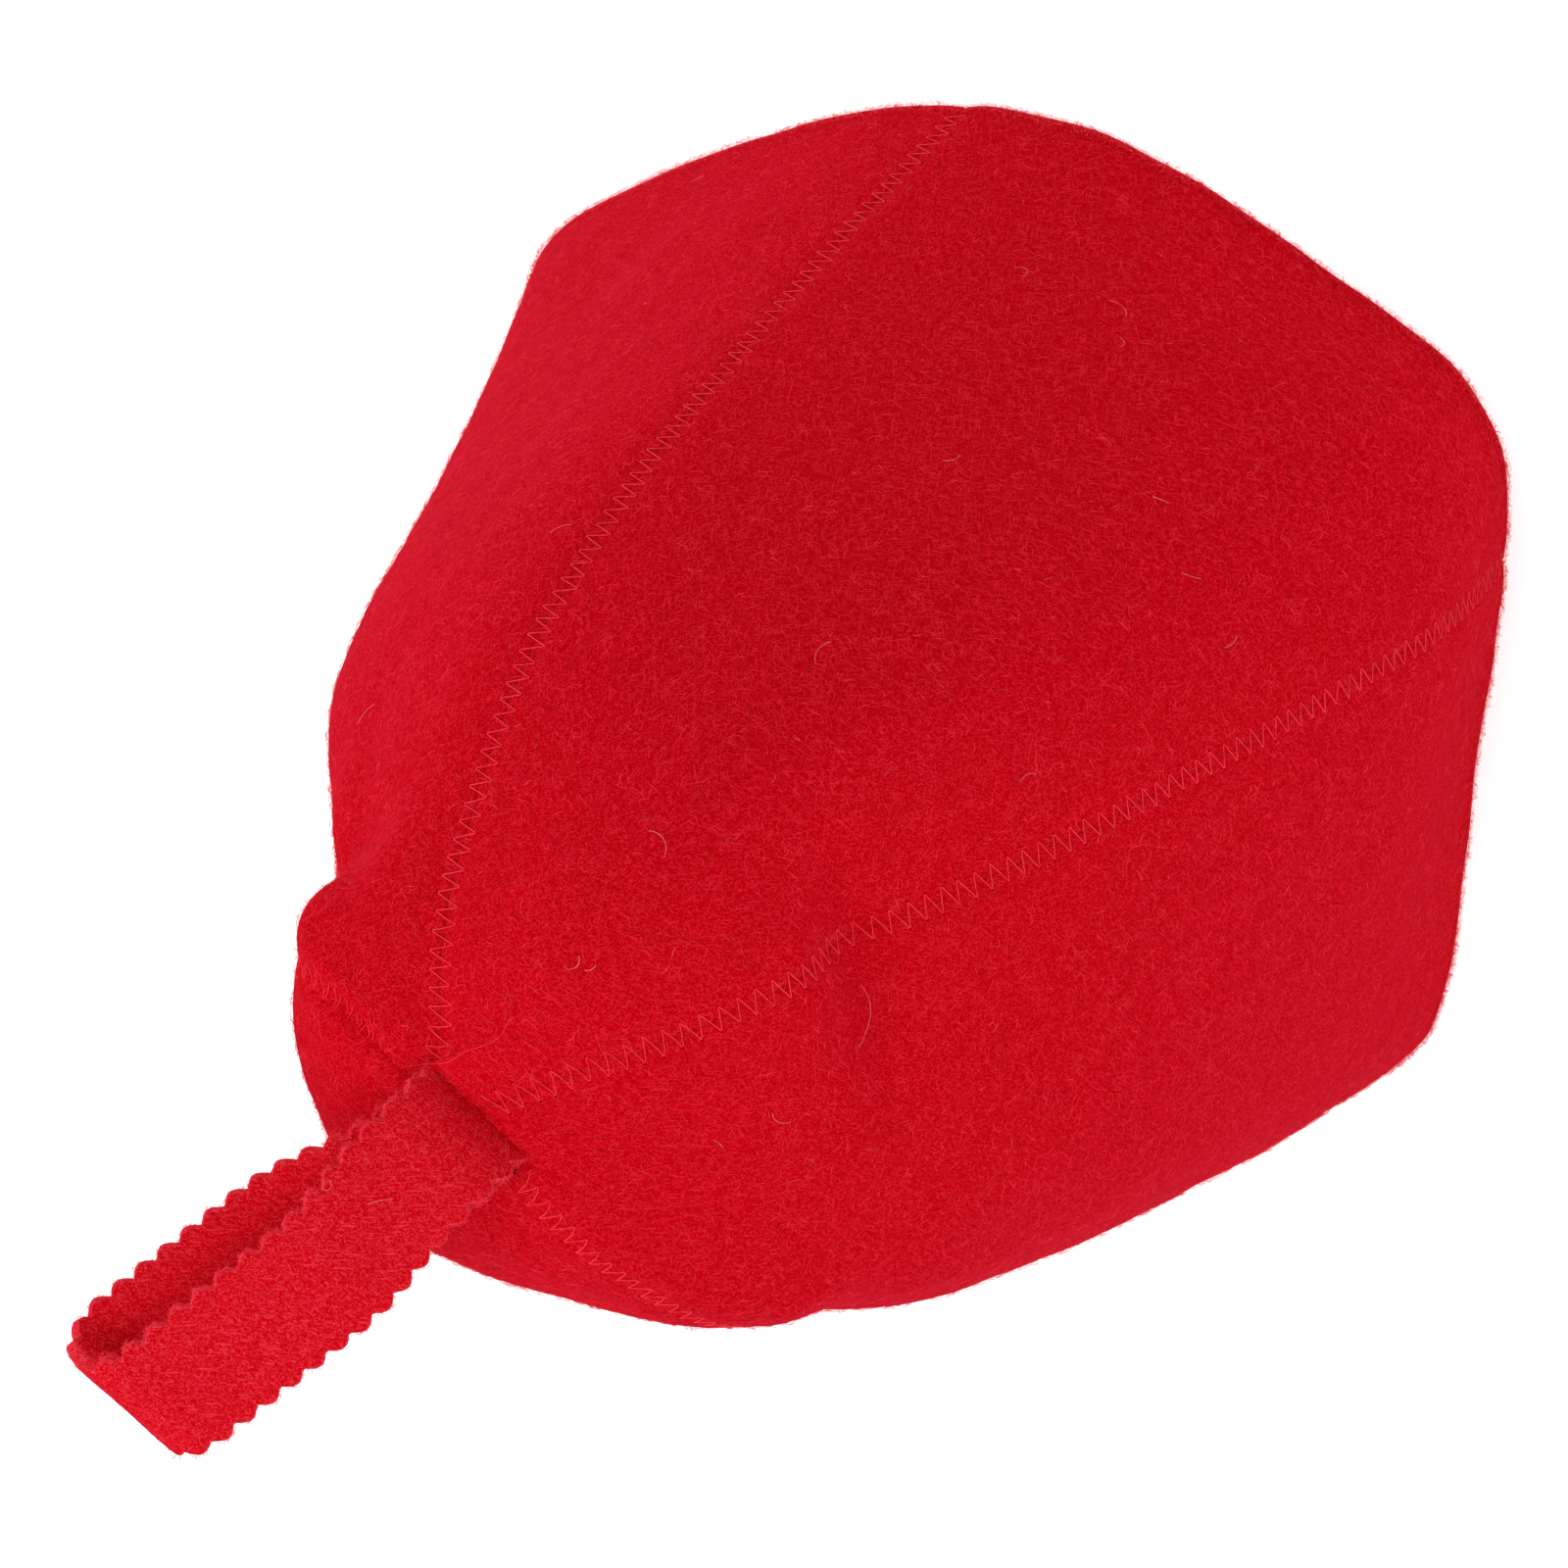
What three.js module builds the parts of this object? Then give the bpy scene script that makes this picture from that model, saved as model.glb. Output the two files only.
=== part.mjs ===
import * as THREE from "three";

// A felt sauna hat standing on its rim, crown up. Millimetres, +Z up, the front gore towards -Y.

const FELT_THICK = 3;
const PIECE_GAP = 0.3;

// The loop is one strip, folded in half, with both ends in a slot at the top of the crown.
const STRIP_WIDTH = 24;
const STRIP_THICK = 2.6;
const SCALLOP_PITCH = 5;
const SCALLOP_DEPTH = 1.6;
const SCALLOP_STEPS = 5;
const LOOP_LENGTH = 77;
const LOOP_BURIED = 6;
const LOOP_FOLD_RADIUS = 7.8;
const LOOP_CLOSED = 6;
const LOOP_OPEN_RUN = 34;
const LOOP_LEAN_DEG = 53;
const LOOP_LEAN_RUN = 16;
const LOOP_SIDE_DEG = 7.8;
const LOOP_TWIST_DEG = -10;
const LOOP_TWIST_RUN = 30;
const LOOP_SKEW = 7;
const PATH_STEP = 0.25;
const STRIP_CORNERS = [[1, 1], [-1, 1], [-1, -1], [1, -1]];

// Eight stations run clockwise round every section: four seams and the middles between them.
// Each has a direction at the rim and, twisted on, another at the crown, in degrees from +X,
// and a place on the slot, in shares of its half length and half width.
const STATIONS = [
  { name: "right", rimAzimuth: 10, topAzimuth: -20, slotX: 1, slotY: 0.5 },
  { name: "seam1", rimAzimuth: -48, topAzimuth: 0, slotX: 1, slotY: 0 },
  { name: "front", rimAzimuth: -102, topAzimuth: -45, slotX: 1, slotY: -1 },
  { name: "seam2", rimAzimuth: -129, topAzimuth: -90, slotX: 0, slotY: -1 },
  { name: "left", rimAzimuth: -184, topAzimuth: -135, slotX: -1, slotY: -1 },
  { name: "seam3", rimAzimuth: -208, topAzimuth: -180, slotX: -1, slotY: 0 },
  { name: "back", rimAzimuth: -269, topAzimuth: -267, slotX: -1, slotY: 1 },
  { name: "seam4", rimAzimuth: -317, topAzimuth: -375, slotX: 1, slotY: 1 },
];

// Sections from the crown down to the rim: height, share of the twist, radius at each station.
const CROWN_HEIGHT = 227;
const SECTION_COLUMNS = ["z", "twist", "right", "seam1", "front", "seam2", "left", "seam3", "back", "seam4"];
const SECTION_ROWS = [
  [223, 0.5, 22, 15, 19, 20, 17, 25, 26, 28],
  [215, 0.4, 35, 27, 37, 39, 32, 42, 42, 41],
  [200, 0.35, 45, 40, 54, 52, 53, 61.5, 57, 50],
  [174, 0.27, 57, 58, 70, 62, 74, 75, 69, 58],
  [136, 0.19, 77, 74, 84, 84, 92, 88, 78, 77],
  [91, 0.13, 89, 84, 98, 102, 108, 98, 83, 87.5],
  [44, 0.07, 101.3, 93, 110, 115, 121, 107, 88, 93],
  [0, 0, 115, 102, 113, 112, 130, 114, 90, 92],
];
const SECTIONS = SECTION_ROWS.map((row) =>
  Object.fromEntries(SECTION_COLUMNS.map((column, k) => [column, row[k]])),
);

// Old fold creases (raised) and soft dents (sunk): station, height, rise, reach round and reach up.
const RELIEF = [
  { name: "right fold", station: 0, z: 0, rise: 1.8, round: 0.2, up: 80 },
  { name: "left fold", station: 4, z: 0, rise: 1.4, round: 0.2, up: 80 },
  { name: "swell of the rim beside seam 1", station: 1.32, z: 0, rise: 1.2, round: 0.3, up: 50 },
  { name: "flat of the front rim", station: 1.78, z: 0, rise: -1.8, round: 0.25, up: 50 },
  { name: "swell of the rim before seam 2", station: 2.7, z: 0, rise: 1, round: 0.25, up: 50 },
  { name: "hollow at the left rim", station: 3.42, z: 5, rise: -3.2, round: 0.28, up: 45 },
  { name: "crease over seam 2", station: 3.1, z: 181, rise: -4, round: 0.45, up: 7 },
  { name: "swelling above that crease", station: 3.1, z: 196, rise: 1.5, round: 0.5, up: 9 },
  { name: "crease carried on to seam 3", station: 4.7, z: 179, rise: -2, round: 0.7, up: 10 },
  { name: "dent under the right shoulder", station: 7.4, z: 190, rise: -6.4, round: 0.7, up: 10 },
  { name: "valley of seam 4 at the shoulder", station: 7, z: 216, rise: -2.5, round: 0.2, up: 9 },
  { name: "swell of the shoulder behind seam 4", station: 6.62, z: 206, rise: 2.4, round: 0.3, up: 12 },
];
const LEVEL_BELOW = 60;

const GORES = [
  { name: "gore_right", fromSeam: 7 },
  { name: "gore_front", fromSeam: 1 },
  { name: "gore_left", fromSeam: 3 },
  { name: "gore_back", fromSeam: 5 },
];
const GORE_STATIONS = 2;
const GORE_CELLS_ROUND = 20;
const GORE_CELLS_DOWN = 26;
const PROBE = 1e-3;

const FELT_RED = "#c20b1c";
const FELT_ROUGHNESS = 0.95;

// The slot holds the strip's two ends side by side, half a gap each from the middle.
const slotHalfX = STRIP_WIDTH / 2 + PIECE_GAP;
const slotHalfY = PIECE_GAP / 2 + STRIP_THICK + PIECE_GAP;
const radians = THREE.MathUtils.degToRad;
const smooth = (x) => THREE.MathUtils.smoothstep(x, 0, 1);

const UP = new THREE.Vector3(0, 0, 1);
const SIDEWAYS = new THREE.Vector3(1, 0, 0);

function slotPoint(station) {
  return new THREE.Vector3(slotHalfX * station.slotX, slotHalfY * station.slotY, CROWN_HEIGHT);
}

function sectionPoint(section, station) {
  const turn = radians(THREE.MathUtils.lerp(station.rimAzimuth, station.topAzimuth, section.twist));
  const radius = section[station.name];
  return new THREE.Vector3(radius * Math.cos(turn), radius * Math.sin(turn), section.z);
}

const NET = [
  STATIONS.map(slotPoint),
  ...SECTIONS.map((section) => STATIONS.map((station) => sectionPoint(section, station))),
];
const LAST_ROW = NET.length - 1;

// Smooth curve through four points in a row, at share t of the way from the second to the third.
function spline(p0, p1, p2, p3, t) {
  const a = p1.clone().multiplyScalar(2);
  const b = p2.clone().sub(p0).multiplyScalar(t);
  const c = p0.clone().multiplyScalar(2).addScaledVector(p1, -5).addScaledVector(p2, 4).sub(p3);
  const d = p1.clone().multiplyScalar(3).sub(p0).addScaledVector(p2, -3).add(p3);
  return a.add(b).addScaledVector(c, t * t).addScaledVector(d, t * t * t).multiplyScalar(0.5);
}

// Point of one net row, at station u round it.
function rowPoint(row, u) {
  const at = Math.floor(u);
  const pick = (k) => NET[row][(at + k + 2 * STATIONS.length) % STATIONS.length];
  return spline(pick(-1), pick(0), pick(1), pick(2), u - at);
}

// Outer surface before folds and dents: u counts stations, v counts rows from the slot down.
function basePoint(u, v) {
  const row = Math.min(Math.floor(v), LAST_ROW - 1);
  const p1 = rowPoint(row, u);
  const p2 = rowPoint(row + 1, u);
  const p0 = row > 0 ? rowPoint(row - 1, u) : p1.clone().multiplyScalar(2).sub(p2);
  const p3 = row + 2 <= LAST_ROW ? rowPoint(row + 2, u) : p2.clone().multiplyScalar(2).sub(p1);
  return spline(p0, p1, p2, p3, v - row);
}

function relief(u, z) {
  let rise = 0;
  for (const mark of RELIEF) {
    const half = STATIONS.length / 2;
    const away = THREE.MathUtils.euclideanModulo(u - mark.station + half, STATIONS.length) - half;
    rise += mark.rise * Math.exp(-((away / mark.round) ** 2) - ((z - mark.z) / mark.up) ** 2);
  }
  return rise;
}

function normalOf(surface, u, v) {
  const vFrom = Math.max(v - PROBE, 0);
  const vTo = Math.min(v + PROBE, LAST_ROW);
  const alongU = surface(u + PROBE, v).sub(surface(u - PROBE, v));
  const alongV = surface(u, vTo).sub(surface(u, vFrom));
  return alongU.cross(alongV).normalize();
}

// Outer surface with folds and dents, pushed level near the rim so that the rim stays flat.
function outerPoint(u, v) {
  const point = basePoint(u, v);
  const push = normalOf(basePoint, u, v);
  push.z *= smooth(point.z / LEVEL_BELOW);
  return point.addScaledVector(push.normalize(), relief(u, point.z));
}

// Direction the felt's thickness is measured along: upright round the slot, level at the rim.
function thicknessAxis(u, v) {
  const axis = normalOf(outerPoint, u, v);
  if (v === LAST_ROW) {
    axis.z = 0;
  }
  return axis.normalize().lerp(UP, 1 - smooth(v)).normalize();
}

// How far a seam edge steps back, in stations, so that neighbours stand PIECE_GAP apart.
function seamInset(u, v) {
  const perStation = outerPoint(u + PROBE, v).distanceTo(outerPoint(u - PROBE, v)) / (2 * PROBE);
  return PIECE_GAP / 2 / perStation;
}

function makeMesh(name, points, faces) {
  const geometry = new THREE.BufferGeometry().setFromPoints(points);
  geometry.setIndex(faces);
  geometry.computeVertexNormals();
  const material = new THREE.MeshStandardMaterial({
    color: FELT_RED,
    roughness: FELT_ROUGHNESS,
    metalness: 0,
  });
  const mesh = new THREE.Mesh(geometry, material);
  mesh.name = name;
  return mesh;
}

// A felt panel: outer skin, inner skin one felt thickness in, and the four cut edges.
function makeGore({ name, fromSeam }) {
  const across = GORE_CELLS_ROUND + 1;
  const outer = [];
  const inner = [];
  for (let i = 0; i <= GORE_CELLS_DOWN; i++) {
    const v = (LAST_ROW * i) / GORE_CELLS_DOWN;
    const first = fromSeam + seamInset(fromSeam, v);
    const last = fromSeam + GORE_STATIONS - seamInset(fromSeam + GORE_STATIONS, v);
    for (let j = 0; j <= GORE_CELLS_ROUND; j++) {
      const u = THREE.MathUtils.lerp(first, last, j / GORE_CELLS_ROUND);
      const point = outerPoint(u, v);
      outer.push(point);
      inner.push(point.clone().addScaledVector(thicknessAxis(u, v), -FELT_THICK));
    }
  }
  const shift = outer.length;
  const at = (i, j) => i * across + j;
  const faces = [];
  for (let i = 0; i < GORE_CELLS_DOWN; i++) {
    for (let j = 0; j < GORE_CELLS_ROUND; j++) {
      const [a, b, c, d] = [at(i, j), at(i, j + 1), at(i + 1, j + 1), at(i + 1, j)];
      faces.push(a, b, d, b, c, d);
      faces.push(shift + a, shift + d, shift + b, shift + b, shift + d, shift + c);
    }
  }
  const edge = [];
  for (let j = 0; j < GORE_CELLS_ROUND; j++) {
    edge.push(at(0, j));
  }
  for (let i = 0; i < GORE_CELLS_DOWN; i++) {
    edge.push(at(i, GORE_CELLS_ROUND));
  }
  for (let j = GORE_CELLS_ROUND; j > 0; j--) {
    edge.push(at(GORE_CELLS_DOWN, j));
  }
  for (let i = GORE_CELLS_DOWN; i > 0; i--) {
    edge.push(at(i, 0));
  }
  edge.forEach((p, k) => {
    const q = edge[(k + 1) % edge.length];
    faces.push(q, p, shift + p, q, shift + p, shift + q);
  });
  return makeMesh(name, outer.concat(inner), faces);
}

// The loop's frame at s along it: upright in the slot, then leaning back and to the side.
function loopFrame(s) {
  const steps = Math.max(1, Math.ceil(Math.abs(s) / PATH_STEP));
  const lean = (d) => radians(LOOP_LEAN_DEG) * smooth(d / LOOP_LEAN_RUN);
  const side = (d) => Math.tan(radians(LOOP_SIDE_DEG) * smooth(d / LOOP_LEAN_RUN));
  const middle = new THREE.Vector3(0, 0, CROWN_HEIGHT);
  for (let k = 0; k < steps; k++) {
    const d = ((k + 0.5) * s) / steps;
    const way = new THREE.Vector3(side(d), Math.sin(lean(d)), Math.cos(lean(d)));
    middle.addScaledVector(way, s / steps);
  }
  const forward = new THREE.Vector3(0, Math.sin(lean(s)), Math.cos(lean(s)));
  const twist = radians(LOOP_TWIST_DEG) * smooth(s / LOOP_TWIST_RUN);
  const facing = SIDEWAYS.clone().cross(forward).applyAxisAngle(forward, twist);
  const across = forward.clone().cross(facing);
  return { middle, forward, facing, across };
}

// The strip's path in the loop's own plane, from one buried end round the fold to the other.
function loopPath() {
  const nearest = STRIP_THICK / 2 + PIECE_GAP / 2;
  const foldAt = LOOP_LENGTH - LOOP_FOLD_RADIUS;
  const spread = (s) =>
    THREE.MathUtils.lerp(nearest, LOOP_FOLD_RADIUS, smooth((s - LOOP_CLOSED) / LOOP_OPEN_RUN));
  const strandSteps = Math.round((foldAt + LOOP_BURIED) / PATH_STEP);
  const foldSteps = Math.round((Math.PI * LOOP_FOLD_RADIUS) / PATH_STEP);
  const half = [];
  for (let k = 0; k <= strandSteps; k++) {
    const s = THREE.MathUtils.lerp(-LOOP_BURIED, foldAt, k / strandSteps);
    half.push(new THREE.Vector2(s, spread(s)));
  }
  const fold = [];
  for (let k = 1; k < foldSteps; k++) {
    const turn = (Math.PI * k) / foldSteps;
    const past = LOOP_FOLD_RADIUS * Math.sin(turn);
    fold.push(new THREE.Vector2(foldAt + past, LOOP_FOLD_RADIUS * Math.cos(turn)));
  }
  const back = half.map((p) => new THREE.Vector2(p.x, -p.y)).reverse();
  return half.concat(fold, back);
}

// Scalloped half width of the strip at a length along it.
function stripHalfWidth(length) {
  const bump = Math.abs(Math.cos((Math.PI * length) / SCALLOP_PITCH));
  return STRIP_WIDTH / 2 - SCALLOP_DEPTH * (1 - bump);
}

// The folded strip: a ring of four corners at each station along the path.
function makeLoop() {
  const path = loopPath();
  const lengths = [0];
  for (let k = 1; k < path.length; k++) {
    lengths.push(lengths[k - 1] + path[k].distanceTo(path[k - 1]));
  }
  const whole = lengths[path.length - 1];
  const stations = Math.round((whole / SCALLOP_PITCH) * SCALLOP_STEPS);
  const ring = STRIP_CORNERS.length;
  const points = [];
  const faces = [];
  let k = 0;
  for (let i = 0; i <= stations; i++) {
    const length = (whole * i) / stations;
    while (k < path.length - 2 && lengths[k + 1] < length) {
      k++;
    }
    const share = (length - lengths[k]) / (lengths[k + 1] - lengths[k]);
    const spot = path[k].clone().lerp(path[k + 1], share);
    const before = path[Math.max(k - 1, 0)];
    const after = path[Math.min(k + 2, path.length - 1)];
    const heading = after.clone().sub(before).normalize();
    const { middle, forward, facing, across } = loopFrame(spot.x);
    const lead = (-LOOP_SKEW / 2) * (spot.y / LOOP_FOLD_RADIUS) * smooth(spot.x / LOOP_OPEN_RUN);
    const centre = middle.clone().addScaledVector(facing, spot.y).addScaledVector(across, lead);
    const outward = forward.clone().multiplyScalar(-heading.y).addScaledVector(facing, heading.x);
    const half = stripHalfWidth(length);
    for (const [w, t] of STRIP_CORNERS) {
      const edge = centre.clone().addScaledVector(across, w * half);
      points.push(edge.addScaledVector(outward, (t * STRIP_THICK) / 2));
    }
    if (i > 0) {
      for (let c = 0; c < ring; c++) {
        const a = ring * (i - 1) + c;
        const b = ring * (i - 1) + ((c + 1) % ring);
        faces.push(a, a + ring, b, b, a + ring, b + ring);
      }
    }
  }
  const end = ring * stations;
  faces.push(0, 1, 2, 0, 2, 3, end, end + 2, end + 1, end, end + 3, end + 2);
  return makeMesh("hanging_loop", points, faces);
}

const hat = new THREE.Group();
hat.name = "sauna_hat";
for (const gore of GORES) {
  hat.add(makeGore(gore));
}
hat.add(makeLoop());

// The origin is the middle of the whole hat's footprint, on the surface it stands on.
const box = new THREE.Box3().setFromObject(hat);
const middle = box.getCenter(new THREE.Vector3());
for (const mesh of hat.children) {
  mesh.geometry.translate(-middle.x, -middle.y, -box.min.z);
}

export default hat;
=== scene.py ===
import math

import bpy
import numpy as np
from mathutils import Matrix, Vector
from mathutils.bvhtree import BVHTree


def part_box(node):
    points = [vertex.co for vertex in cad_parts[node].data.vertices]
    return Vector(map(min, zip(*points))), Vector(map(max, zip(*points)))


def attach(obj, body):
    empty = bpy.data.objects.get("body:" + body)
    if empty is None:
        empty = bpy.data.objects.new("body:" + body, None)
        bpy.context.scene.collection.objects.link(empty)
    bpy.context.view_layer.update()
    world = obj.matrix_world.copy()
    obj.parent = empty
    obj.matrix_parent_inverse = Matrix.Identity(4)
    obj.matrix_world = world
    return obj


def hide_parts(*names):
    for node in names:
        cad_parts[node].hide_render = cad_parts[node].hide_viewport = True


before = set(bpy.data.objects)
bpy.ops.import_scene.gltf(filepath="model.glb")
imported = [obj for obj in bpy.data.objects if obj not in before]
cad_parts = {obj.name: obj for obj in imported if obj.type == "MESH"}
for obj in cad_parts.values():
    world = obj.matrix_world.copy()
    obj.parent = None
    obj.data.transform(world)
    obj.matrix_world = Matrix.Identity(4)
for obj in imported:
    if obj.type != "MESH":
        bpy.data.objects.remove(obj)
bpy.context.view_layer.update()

# A felt sauna hat standing on its rim. Sizes are in millimetres and go to metres in mesh_from.
MM = 0.001
CM2 = 0.0001
SEED = 9150
UP = np.array([0.0, 0.0, 1.0])
SIDEWAYS = np.array([1.0, 0.0, 0.0])

# Eight stations run clockwise round each section; the odd ones are seams. Each has a direction at
# the rim and one at the crown, in degrees from +X, and a place on the slot, in shares of its half size.
STATION_COLUMNS = ("name", "rim_azimuth", "top_azimuth", "slot_x", "slot_y")
STATION_ROWS = (
    ("right", 10, -20, 1, 0.5),
    ("seam1", -48, 0, 1, 0),
    ("front", -102, -45, 1, -1),
    ("seam2", -129, -90, 0, -1),
    ("left", -184, -135, -1, -1),
    ("seam3", -208, -180, -1, 0),
    ("back", -269, -267, -1, 1),
    ("seam4", -317, -375, 1, 1),
)
STATIONS = [dict(zip(STATION_COLUMNS, row)) for row in STATION_ROWS]
SLOT_HALF = (11.0, 2.7)
PIECE_GAP = 0.3
FELT_THICK = 3.0

# Sections from the crown down to the rim: height, share of the twist, radius at each station.
CROWN_HEIGHT = 227.0
SECTION_COLUMNS = ("z", "twist", "right", "seam1", "front", "seam2", "left", "seam3", "back", "seam4")
SECTION_ROWS = (
    (223, 0.5, 22, 15, 19, 20, 17, 25, 26, 28),
    (215, 0.4, 35, 27, 37, 39, 32, 42, 42, 41),
    (200, 0.35, 45, 40, 54, 52, 53, 61.5, 57, 50),
    (174, 0.27, 57, 58, 70, 62, 74, 75, 69, 58),
    (136, 0.19, 77, 74, 84, 84, 92, 88, 78, 77),
    (91, 0.13, 89, 84, 98, 102, 108, 98, 83, 87.5),
    (44, 0.07, 101.3, 93, 110, 115, 121, 107, 88, 93),
    (0, 0, 115, 102, 113, 112, 130, 114, 90, 92),
)
SECTIONS = [dict(zip(SECTION_COLUMNS, row)) for row in SECTION_ROWS]

# Old fold creases (raised) and soft dents (sunk): station, height, rise, reach round and reach up.
RELIEF = (
    dict(name="right fold", station=0, z=0, rise=1.8, round=0.2, up=80),
    dict(name="left fold", station=4, z=0, rise=1.4, round=0.2, up=80),
    dict(name="swell of the rim beside seam 1", station=1.32, z=0, rise=1.2, round=0.3, up=50),
    dict(name="flat of the front rim", station=1.78, z=0, rise=-1.8, round=0.25, up=50),
    dict(name="swell of the rim before seam 2", station=2.7, z=0, rise=1, round=0.25, up=50),
    dict(name="hollow at the left rim", station=3.42, z=5, rise=-3.2, round=0.28, up=45),
    dict(name="crease over seam 2", station=3.1, z=181, rise=-4, round=0.45, up=7),
    dict(name="swelling above that crease", station=3.1, z=196, rise=1.5, round=0.5, up=9),
    dict(name="crease carried on to seam 3", station=4.7, z=179, rise=-2, round=0.7, up=10),
    dict(name="dent under the right shoulder", station=7.4, z=190, rise=-6.4, round=0.7, up=10),
    dict(name="valley of seam 4 at the shoulder", station=7, z=216, rise=-2.5, round=0.2, up=9),
    dict(name="swell of the shoulder behind seam 4", station=6.62, z=206, rise=2.4, round=0.3, up=12),
    dict(name="pinch of seam 4 beside the loop", station=7, z=222, rise=-2.4, round=0.14, up=6),
    dict(name="fullness of seam 4 at the shoulder", station=7.02, z=212, rise=1.5, round=0.2, up=6),
    dict(name="flat of the shoulder before seam 4", station=7.5, z=211, rise=-0.9, round=0.2, up=6),
)
LEVEL_BELOW = 60.0
PROBE = 1e-3
STEEP = 0.9

# Each gore runs over two stations, from one seam to the next, and is cut from flat felt.
GORE_COLUMNS = ("node", "from_seam", "flat_width", "flat_length", "flat_area_cm2")
GORE_ROWS = (
    ("gore_right", 7, 175, 262, 236),
    ("gore_front", 1, 156, 277, 282),
    ("gore_left", 3, 172, 276, 309),
    ("gore_back", 5, 185, 270, 391),
)
GORES = [dict(zip(GORE_COLUMNS, row)) for row in GORE_ROWS]
# Each seam's station, the side that its long stitches set out from, and how deep its thread lies.
SEAM_COLUMNS = ("name", "station", "from_side", "depth")
SEAM_ROWS = (
    ("seam_1", 1, 1, 0.0),
    ("seam_2", 3, -1, 0.0),
    ("seam_3", 5, -1, 0.04),
    ("seam_4", 7, -1, 0.15),
)
SEAMS = [dict(zip(SEAM_COLUMNS, row)) for row in SEAM_ROWS]
GORE_STATIONS = 2
CELLS_ROUND = 112
CELLS_DOWN = 150
CROWD_AT_SEAMS = 0.8
CROWD_AT_ENDS = 0.6
GORE_SHARP_DEG = 50.0

# Soft unevenness of the felt, and how the cut edges round off and sink into the seam.
WAVES = 26
WAVE_LENGTHS = (14.0, 60.0)
WAVE_RISE = 0.2
BUTT_GAP = 0.02
SEAM_SINK = 0.5
SEAM_SINK_REACH = 3.4
EDGE_ROUND = 0.3
EDGE_ROUND_REACH = 0.8
RIM_ROUND = 0.1
RIM_ROUND_REACH = 0.6
SLOT_TUCK = 1.2
SLOT_TUCK_REACH = 3.5

# The hanging loop, one strip folded in half with both ends in the slot.
STRIP_WIDTH = 24.0
STRIP_THICK = 2.6
STRIP_EDGE_ROUND = 0.4
STRIP_ROUND_STEPS = ((0.29, 0.29), (0.0, 1.0))
STRIP_STEP = 0.5
STRIP_CELLS_ACROSS = 16
STRIP_UNEVEN = 0.5
STRIP_SHARP_DEG = 70.0
STRIP_EDGE_MATERIAL = 1
SCALLOP_PITCH = 5.0
SCALLOP_DEPTH = 1.6
LOOP_LENGTH = 77.0
LOOP_BURIED = 6.0
LOOP_FOLD_RADIUS = 7.8
LOOP_CLOSED = 6.0
LOOP_OPEN_RUN = 34.0
LOOP_LEAN_DEG = 53.0
LOOP_LEAN_RUN = 16.0
LOOP_SIDE_DEG = 7.8
LOOP_TWIST_DEG = -10.0
LOOP_TWIST_RUN = 30.0
LOOP_SKEW = 7.0
PATH_STEP = 0.25

# Zigzag seams: long slanted legs and short ones that lie almost straight across the seam.
STITCH_LONG = 2.9
STITCH_SHORT = 0.6
STITCH_HALF = 2.45
STITCH_JITTER = 0.18
LEG_SHARES = (0.0, 0.06, 0.3, 0.7, 0.94, 1.0)
LEG_HEIGHTS = (-0.3, 0.04, 0.11, 0.11, 0.04, -0.3)
THREAD_RADIUS = 0.1
THREAD_SIDES = 6
SEAM_STARTS_AT = 3.0
SEAM_ENDS_BEFORE = 1.2
SEAM_SAMPLES = 1200
# Needle holes are dark discs just proud of the felt: painted shade in the holes.
HOLE_SHARE = 0.7
HOLE_RADIUS = 0.28
HOLE_SIDES = 8
HOLE_WOBBLE = (0.6, 1.0)
HOLE_PROUD = 0.04

# Loose wool: hairs for each square centimetre, their length, width, rise off the felt and curl.
FUZZ = dict(
    body=dict(per_cm2=54, length=(1.0, 3.8), width=(0.06, 0.12), lift=(0.04, 0.8), curl=0.8),
    rim=dict(per_cm2=500, length=(0.6, 1.6), width=(0.08, 0.14), lift=(0.3, 1.2), curl=0.8),
    loop=dict(per_cm2=44, length=(0.8, 2.4), width=(0.05, 0.1), lift=(0.02, 0.2), curl=0.5),
    scallop=dict(per_cm2=260, length=(0.5, 1.2), width=(0.07, 0.12), lift=(0.1, 0.5), curl=0.6),
    fleck=dict(per_cm2=1.2, length=(0.7, 2.4), width=(0.06, 0.1), lift=(0.1, 0.4), curl=1.2),
)
FUZZ_POINTS = 4
FUZZ_SWAY = 0.4
FUZZ_ARCH = (0.5, 0.92)
FUZZ_ARCH_START = 0.08
FUZZ_TAPER = (0.18, 0.9)
FUZZ_ROLL = 1.2
RIM_FUZZ_ROWS = 2
FLOOR_CLEARANCE = 0.1

# Stray hairs and cut ends of thread: the pixel where each starts, its heading on the picture, its
# length and its bend.
HAIR_COLUMNS = ("x_px", "y_px", "heading_deg", "length", "bend_deg")
HAIR_ROWS = (
    (703, 188, -20, 3.6, 30),
    (1034, 275, -60, 5.0, 200),
    (1130, 307, -5, 6.0, 110),
    (1142, 345, 30, 3.0, 130),
    (1175, 507, 10, 3.2, 15),
    (1204, 584, 18, 4.0, -20),
    (1262, 648, 120, 4.0, 60),
    (590, 974, 60, 4.5, 160),
    (596, 990, 10, 2.2, -60),
    (874, 1002, 30, 15.0, 130),
    (660, 848, 12, 7.0, 100),
    (364, 742, -80, 6.0, 70),
    (850, 655, 160, 6.5, -90),
    (728, 1163, 35, 2.4, 40),
    (788, 1134, 80, 5.0, -100),
    (373, 1230, -22, 4.6, 20),
    (332, 1204, 0, 5.0, 320),
    (1040, 800, -70, 4.0, 90),
    (560, 545, -50, 4.5, 60),
    (960, 470, 20, 4.0, -80),
    (396, 1075, -62, 4.4, 8),
    (396, 1075, -22, 4.6, -10),
    (397, 1075, 10, 4.2, 15),
    (431, 1095, 45, 1.4, 0),
)
HAIRS = [dict(zip(HAIR_COLUMNS, row)) for row in HAIR_ROWS]
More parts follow.
